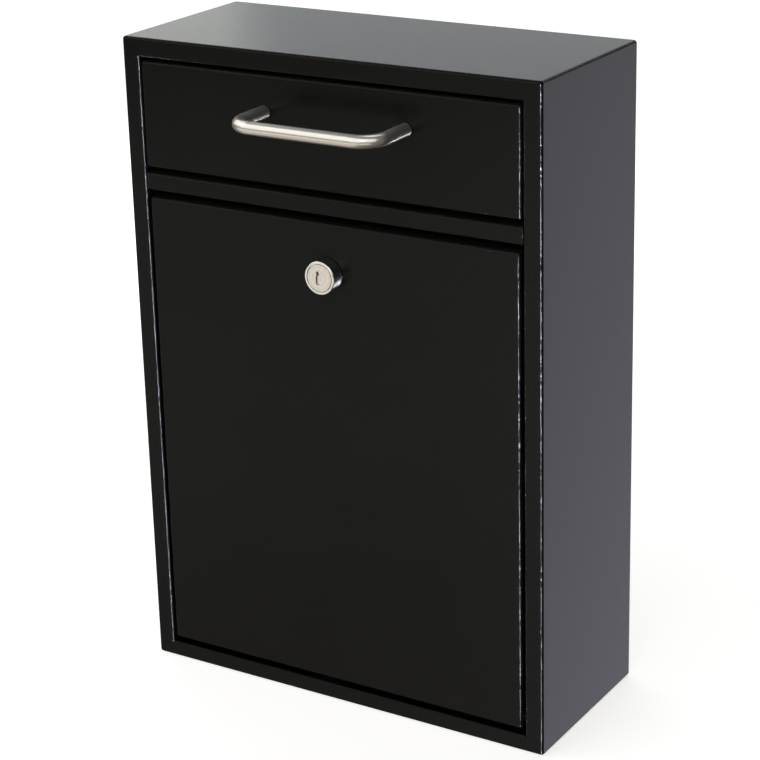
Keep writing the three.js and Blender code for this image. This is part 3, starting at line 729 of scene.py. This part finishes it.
pocket = {
    "slope": 60,           # degrees, how steeply the tray falls away
    "bend": 6,
    "cheekRadius": 55,
    "lugLength": 9,
    "lugAngle": 32.13,     # degrees above level, where the lug sits when the hopper is shut
    "cheekFoot": 8,        # how far behind the pin the cheek's level edge runs
    "cheekEdge": 0.15,
}


def makeTray():
    low, high = cadBox("hopper_tray")
    x, slope = high.x, radians(pocket["slope"])
    tipZ = low.z + cabinet["sheet"] * cos(slope)
    turnY = high.y - (high.z - tipZ) / tan(slope)
    faces = [
        [(-x, low.y, high.z), (x, low.y, high.z), (x, turnY, high.z), (-x, turnY, high.z)],
        [(-x, turnY, high.z), (x, turnY, high.z), (x, high.y, tipZ), (-x, high.y, tipZ)],
    ]
    tray = foldedSheet("pocket_tray", faces, cabinet["sheet"], pocket["bend"])
    return finishPiece(tray, "hopper", "powder_coated_steel", "hopper_tray")


def makeCheek(side):
    node = "hopper_cheek_right" if side > 0 else "hopper_cheek_left"
    low, high = cadBox(node)
    inner = low.x if side > 0 else high.x
    outer = inner + side * cabinet["sheet"]
    tip = high.x if side > 0 else low.x
    radius, sheet = pocket["cheekRadius"], cabinet["sheet"]
    lugRoot = radius - pocket["lugLength"]
    start = pocket["lugAngle"] - degrees(asin(sheet / lugRoot))
    stop = degrees(acos((low.y - pivotY) / radius))
    outline = [(low.y, low.z), (pivotY + pocket["cheekFoot"], low.z),
               *arc(pivotY, hopperPivotZ, radius, start, stop, 36)]
    cheek = addObject(node + "_plate", prism(outline, "X", inner, outer))
    near, far = inner - side * toolReach, outer + side * toolReach
    cutWith(cheek, rod("X", cabinet["pinHole"], near, far, pivotY, hopperPivotZ))
    # The lug stands square to the cheek, on a line through the pivot
    lugAngle = radians(pocket["lugAngle"])
    pivot, along = Vector((pivotY, hopperPivotZ)), Vector((cos(lugAngle), sin(lugAngle)))
    behind = Vector((along.y, -along.x)) * sheet
    root, end = pivot + along * lugRoot, pivot + along * (radius - cadGap)
    cutWith(cheek, prism([root, root + behind, end + behind, end], "X", inner, tip), operation="UNION")
    roundEdges(cheek, pocket["cheekEdge"])
    return finishPiece(cheek, "hopper", "powder_coated_steel", node)


makeTray()
for side in (-1, 1):
    makeCheek(side)
print("pocket: tray and two cheeks")


# Handle

def makeHandle():
    # One rod bent twice: rings of points square to the centreline, closed at both posts
    radius, bend = handle["rod"] / 2, handle["bend"]
    out = handleLow.y + radius
    start = handleHigh.y
    # The left half of the centreline as (place, direction) pairs, then the same mirrored
    line = [((-postHalf, start), (0, -1)), ((-postHalf, out + bend), (0, -1))]
    for i in range(1, handle["bendSteps"] + 1):
        a = pi / 2 * i / handle["bendSteps"]
        line.append(((-postHalf + bend * (1 - cos(a)), out + bend - bend * sin(a)), (sin(a), -cos(a))))
    line += [((-x, y), (dx, -dy)) for (x, y), (dx, dy) in reversed(line)]
    bm = bmesh.new()
    rings = []
    for (x, y), (dx, dy) in line:
        ring = []
        for k in range(handle["sides"]):
            a = 2 * pi * k / handle["sides"]
            side = radius * cos(a)
            ring.append(bm.verts.new((handleX + x - side * dy, y + side * dx, handleZ + radius * sin(a))))
        rings.append(ring)
    for first, second in zip(rings, rings[1:]):
        for k in range(handle["sides"]):
            n = (k + 1) % handle["sides"]
            bm.faces.new([first[k], first[n], second[n], second[k]])
    bm.faces.new(rings[0])
    bm.faces.new(rings[-1])
    bmesh.ops.recalc_face_normals(bm, faces=bm.faces)
    bar = addObject("bar_handle", bm)
    roundEdges(bar, handle["rim"], segments=3)
    applyModifiers(bar)
    bottom = cadBox("handle_screw_left")[0].y - handle["tipRoom"]
    for side in (-1, 1):
        post = handleX + side * postHalf
        cutWith(bar, rod("Y", handle["screwHole"], bottom, start + toolReach, post, handleZ))
    return finishPiece(bar, "hopper", "satin_stainless", "pull_handle")


makeHandle()
print("handle: one bent rod")


# Lock

def makeLockHead():
    face, rear = headLow.y, headHigh.y
    radius, bore, barrel, half = headHigh.x, lock["bore"], lock["barrel"], lock["flats"]
    seat = doorFront - cadGap
    root = seat - lock["overlap"]
    pitch, valley = lock["threadPitch"], barrel - lock["threadDepth"]
    thread = [(barrel, root), (barrel, doorFront + cabinet["sheet"])]
    while thread[-1][1] + pitch < rear:
        crest = thread[-1][1]
        thread += [(valley, crest + pitch / 2), (barrel, crest + pitch)]
    thread += [(valley, rear), (bore, rear), (bore, root)]
    body = addObject("lock_body", turned(thread, lockX, lockZ, 72))
    flats = rectangle(lockX - half, lockZ - 2 * half, lockX + half, lockZ + 2 * half)
    cutWith(body, prism(flats, "Y", seat - toolReach, rear + toolReach), operation="INTERSECT")
    corner, ease = lock["headRound"], lock["rimRound"]
    inside, floor = lock["rimInside"], face + lock["recess"]
    rim = arc(radius - corner, face + corner, corner, 0, -90, 8)
    lip = arc(inside + ease, face + ease, ease, 270, 180, 4)
    head = [(bore, seat), (radius - ease, seat), (radius, seat - ease),
            *rim, *lip, (inside, floor), (bore, floor)]
    cutWith(body, turned(head, lockX, lockZ, 96), operation="UNION")
    return finishPiece(body, "access_door", "chromed_zinc", "lock_housing")


plugLow, plugHigh = cadBox("lock_plug")
plug = {
    "ease": 0.25,
    "headThickness": 1.5,
    "keywayWidth": 2.4,
    "keywayHeight": 8.8,
    "keywayOffset": 1.2,    # left of the plug's axis
    "keywayDepth": 20,
    "ward": 0.5,
    "tailInset": 0.15,
    "tailOverlap": 1,       # how far the square tail reaches into the plug
    "screwHole": 2.8,
    "tipRoom": 1,           # how far the screw's hole runs on past its tip
    "edge": 0.08,
}


def keywayOutline():
    # Round ends, and a ward on each side: the right one runs over the middle third, the left one above it
    half, top = plug["keywayWidth"] / 2, plug["keywayHeight"] / 2
    step, ward = plug["keywayHeight"] / 6, plug["ward"]
    upper = half - ward / 2
    x, z = lockX - plug["keywayOffset"], lockZ
    return [(x + a, z + b) for a, b in (
        *arc(0, -top + half, half, 180, 360, 10),
        (half, -step), (half - ward, -step), (half - ward, step), (half, step),
        *arc(half - upper, top - half, upper, 0, 180, 10),
        (-half + ward, step), (-half, step),
    )]


def boxAround(node, room):
    low, high = cadBox(node)
    outline = rectangle(low.x - room, low.z - room, high.x + room, high.z + room)
    return prism(outline, "Y", low.y - room, high.y + room)


def makePlug():
    face, end = plugLow.y, headHigh.y + cadGap
    wide, narrow = plugHigh.x, lock["bore"] - cadGap
    ease, behind = plug["ease"], face + plug["headThickness"]
    profile = [(0, face), *arc(wide - ease, face + ease, ease, -90, 0, 4),
               (wide, behind), (narrow, behind), (narrow, end), (0, end)]
    body = addObject("plug", turned(profile, lockX, lockZ, 96))
    tail = (narrow - plug["tailInset"]) / sqrt(2)
    square = rectangle(lockX - tail, lockZ - tail, lockX + tail, lockZ + tail)
    cutWith(body, prism(square, "Y", end - plug["tailOverlap"], plugHigh.y), operation="UNION")
    bottom = cadBox("cam_screw")[0].y - plug["tipRoom"]
    cutWith(body, prism(keywayOutline(), "Y", face - toolReach, face + plug["keywayDepth"]),
            rod("Y", plug["screwHole"], bottom, plugHigh.y + toolReach, lockX, lockZ),
            *[boxAround(f"lock_wafer_{number}", cadGap) for number in range(1, 6)])
    roundEdges(body, plug["edge"], angle=50)
    return finishPiece(body, "lock_cylinder", "nickel_silver", "lock_plug")


makeLockHead()
makePlug()
print("lock: head, barrel and plug")


# CAD nodes that keep their own shape

# A word in the node's name gives its finish, and the rest are zinc plated
nodeSlots = {
    "stop": "powder_coated_steel",
    "baffle": "powder_coated_steel",
    "wafer": "wafer_brass",
    "bumper": "black_rubber",
    "shutter": "nickel_silver",
}

carriedOver = {
    "weld": 0.01,    # mm
    "edge": 0.15,
}

for name, node in frame["nodes"].items():
    if node.hide_render:
        continue
    slot = next((finish for word, finish in nodeSlots.items() if word in name), "zinc_plate")
    node.data.materials.clear()
    node.data.materials.append(finishes[slot])
    node.data.polygons.foreach_set("use_smooth", [True] * len(node.data.polygons))
    weld = node.modifiers.new("weld", "WELD")
    weld.merge_threshold = carriedOver["weld"] * mm
    roundEdges(node, carriedOver["edge"] * mm)
    weighted = node.modifiers.new("even shading", "WEIGHTED_NORMAL")
    weighted.keep_sharp = True


# Stage, light and camera

stage = {
    "floorColour": "#f6f5f3",
    "floorPaint": "#d8d8d8",
    "floorSize": 16,              # m
    "floorSquares": 8,
    "floorDrop": 0.0005,          # below the box, so that the two don't flicker
    "floorGlow": (0.76, 1.05),    # near the box and far away, where the floor fades into the backdrop
    "fadeFrom": 0.25,             # m from the middle of the floor
    "fadeTo": 1.6,
    "backdrop": "#ffffff",
    "roomLight": 0.14,
}

# Angles in degrees and sizes in metres; a radiance of 1 looks as bright as white paper
softboxes = {
    "backSoftbox": {"azimuth": -146, "elevation": 20, "distance": 1.4, "size": (1.7, 1.2),
                    "radiance": 0.9, "colour": "#f2f7fb"},
    "leftSoftbox": {"azimuth": -124, "elevation": 14, "distance": 1.3, "size": (0.8, 0.9),
                    "radiance": 0.75, "colour": "#fdfff2"},
    "rightSoftbox": {"azimuth": 165, "elevation": 34, "distance": 1.4, "size": (0.9, 0.9),
                     "radiance": 0.8, "colour": "#f4f4fa"},
    "ceilingSoftbox": {"azimuth": 180, "elevation": 72, "distance": 1.3, "size": (0.6, 0.5),
                       "radiance": 1.6, "colour": "#f2f7f2"},
    "frontSoftbox": {"azimuth": -20, "elevation": 38, "distance": 1.4, "size": (2.6, 1.45),
                     "radiance": 1.35, "colour": "#fdfcfb"},
    "frontTable": {"azimuth": -36, "elevation": -17, "distance": 1.3, "size": (2.3, 0.6),
                   "radiance": 0.95, "colour": "#f6f5e8"},
    "nearTable": {"azimuth": -40, "elevation": -46, "distance": 1.2, "size": (1.6, 0.6),
                  "radiance": 0.65, "colour": "#fbefe6"},
    "sideTable": {"azimuth": 140, "elevation": -22, "distance": 1.2, "size": (0.9, 1.1),
                  "radiance": 1.9, "colour": "#ebe8f8"},
    # These three light the bare metal only, so that the handle's bands run on round both its bends
    "metalRightSoftbox": {"azimuth": 48, "elevation": 34, "distance": 1.4, "size": (1.2, 1.1),
                          "radiance": 1.3, "colour": "#fdfcfb", "lights": "bareMetal"},
    "metalLeftSoftbox": {"azimuth": -90, "elevation": 34, "distance": 1.4, "size": (1.2, 1.1),
                         "radiance": 1.3, "colour": "#fdfcfb", "lights": "bareMetal"},
    "metalTable": {"azimuth": 32, "elevation": -17, "distance": 1.3, "size": (1, 0.6),
                   "radiance": 0.9, "colour": "#fbeee0", "lights": "bareMetal"},
    # A bare tube seen only as glints along the paint's vertical bends
    "edgeStrip": {"azimuth": 13, "elevation": -18, "distance": 1.3, "size": (0.04, 0.8),
                  "radiance": 1900, "colour": "#f0f4ff", "lights": "paintedSteel", "glintsOnly": True},
}


def makeFloor():
    # The floor is only there for the eye: the table boards below it light the box through it
    bm = bmesh.new()
    squares = stage["floorSquares"]
    bmesh.ops.create_grid(bm, x_segments=squares, y_segments=squares, size=stage["floorSize"] / 2)
    floor = addObject("floor", bm)
    floor.location.z = cadLow.z - stage["floorDrop"]
    for ray in ("diffuse", "glossy", "transmission", "shadow"):
        setattr(floor, "visible_" + ray, False)
    material, tree = newMaterial("acrylicTableLitFromBelow")
    place = addNode(tree, "ShaderNodeTexCoord").outputs["Object"]
    reach = addNode(tree, "ShaderNodeVectorMath", {"operation": "LENGTH"}, {0: place})
    glow = addNode(tree, "ShaderNodeMapRange",
                   {"interpolation_type": "SMOOTHSTEP",
                    "From Min": stage["fadeFrom"], "From Max": stage["fadeTo"],
                    "To Min": stage["floorGlow"][0], "To Max": stage["floorGlow"][1]},
                   {"Value": reach.outputs["Value"]})
    emission = addNode(tree, "ShaderNodeEmission",
                       {"Color": linear(stage["floorColour"])},
                       {"Strength": glow.outputs["Result"]})
    paint = addNode(tree, "ShaderNodeBsdfDiffuse", {"Color": linear(stage["floorPaint"])})
    both = addNode(tree, "ShaderNodeAddShader", None, {0: emission.outputs[0], 1: paint.outputs[0]})
    addNode(tree, "ShaderNodeOutputMaterial", None, {"Surface": both.outputs[0]})
    floor.data.materials.append(material)


def makeRoom():
    world = bpy.data.worlds.new("studio")
    scene.world = world
    world.use_nodes = True
    tree = world.node_tree
    tree.nodes.clear()
    path = addNode(tree, "ShaderNodeLightPath")
    # The backdrop is seen at full strength and lights the box at roomLight
    strength = addNode(tree, "ShaderNodeMix",
                       {2: stage["roomLight"], 3: 1},
                       {0: path.outputs["Is Camera Ray"]})
    sky = addNode(tree, "ShaderNodeBackground",
                  {"Color": linear(stage["backdrop"])},
                  {"Strength": strength.outputs[0]})
    addNode(tree, "ShaderNodeOutputWorld", None, {"Surface": sky.outputs[0]})


def towards(azimuth, elevation):
    # A unit vector from the box, with azimuth measured from straight in front towards the right
    a, e = radians(azimuth), radians(elevation)
    return Vector((sin(a) * cos(e), -cos(a) * cos(e), sin(e)))


def makeLight(name, look, target):
    light = bpy.data.lights.new(name, "AREA")
    light.shape = "RECTANGLE"
    light.size, light.size_y = look["size"]
    light.energy = look["radiance"] * pi * light.size * light.size_y
    light.color = linear(look["colour"])[:3]
    box = bpy.data.objects.new(name, light)
    scene.collection.objects.link(box)
    box.location = target + towards(look["azimuth"], look["elevation"]) * look["distance"]
    box.rotation_euler = (target - box.location).to_track_quat("-Z", "Y").to_euler()
    box.visible_camera = False
    box.visible_diffuse = not look.get("glintsOnly")
    if "lights" in look:
        box.light_linking.receiver_collection = litPieces[look["lights"]]


camera = {
    "at": (0.6973, -1.1208, 0.6885),    # metres
    "azimuth": 31.964,
    "elevation": 19.314,
    "roll": -1.497,
    "lens": 107.38,
    "shift": -0.06,
}


def makeCamera():
    data = bpy.data.cameras.new("camera")
    data.lens, data.shift_y = camera["lens"], camera["shift"]
    eye = bpy.data.objects.new("camera", data)
    scene.collection.objects.link(eye)
    back = towards(camera["azimuth"], camera["elevation"])
    right = (-back).cross(Vector((0, 0, 1))).normalized()
    up = right.cross(-back)
    roll = radians(camera["roll"])
    turnedRight = right * cos(roll) + up * sin(roll)
    turnedUp = up * cos(roll) - right * sin(roll)
    eye.matrix_world = Matrix((turnedRight, turnedUp, back)).transposed().to_4x4()
    eye.location = camera["at"]
    scene.camera = eye


litPieces = {name: bpy.data.collections.new(name) for name in ("paintedSteel", "bareMetal")}
for piece in scene.objects:
    if piece.type == "MESH":
        isPainted = finishes["powder_coated_steel"].name in piece.data.materials
        litPieces["paintedSteel" if isPainted else "bareMetal"].objects.link(piece)

makeFloor()
makeRoom()
middle = (cadLow + cadHigh) / 2
for name, look in softboxes.items():
    makeLight(name, look, middle)
makeCamera()
print("stage: floor, room, lights and camera")
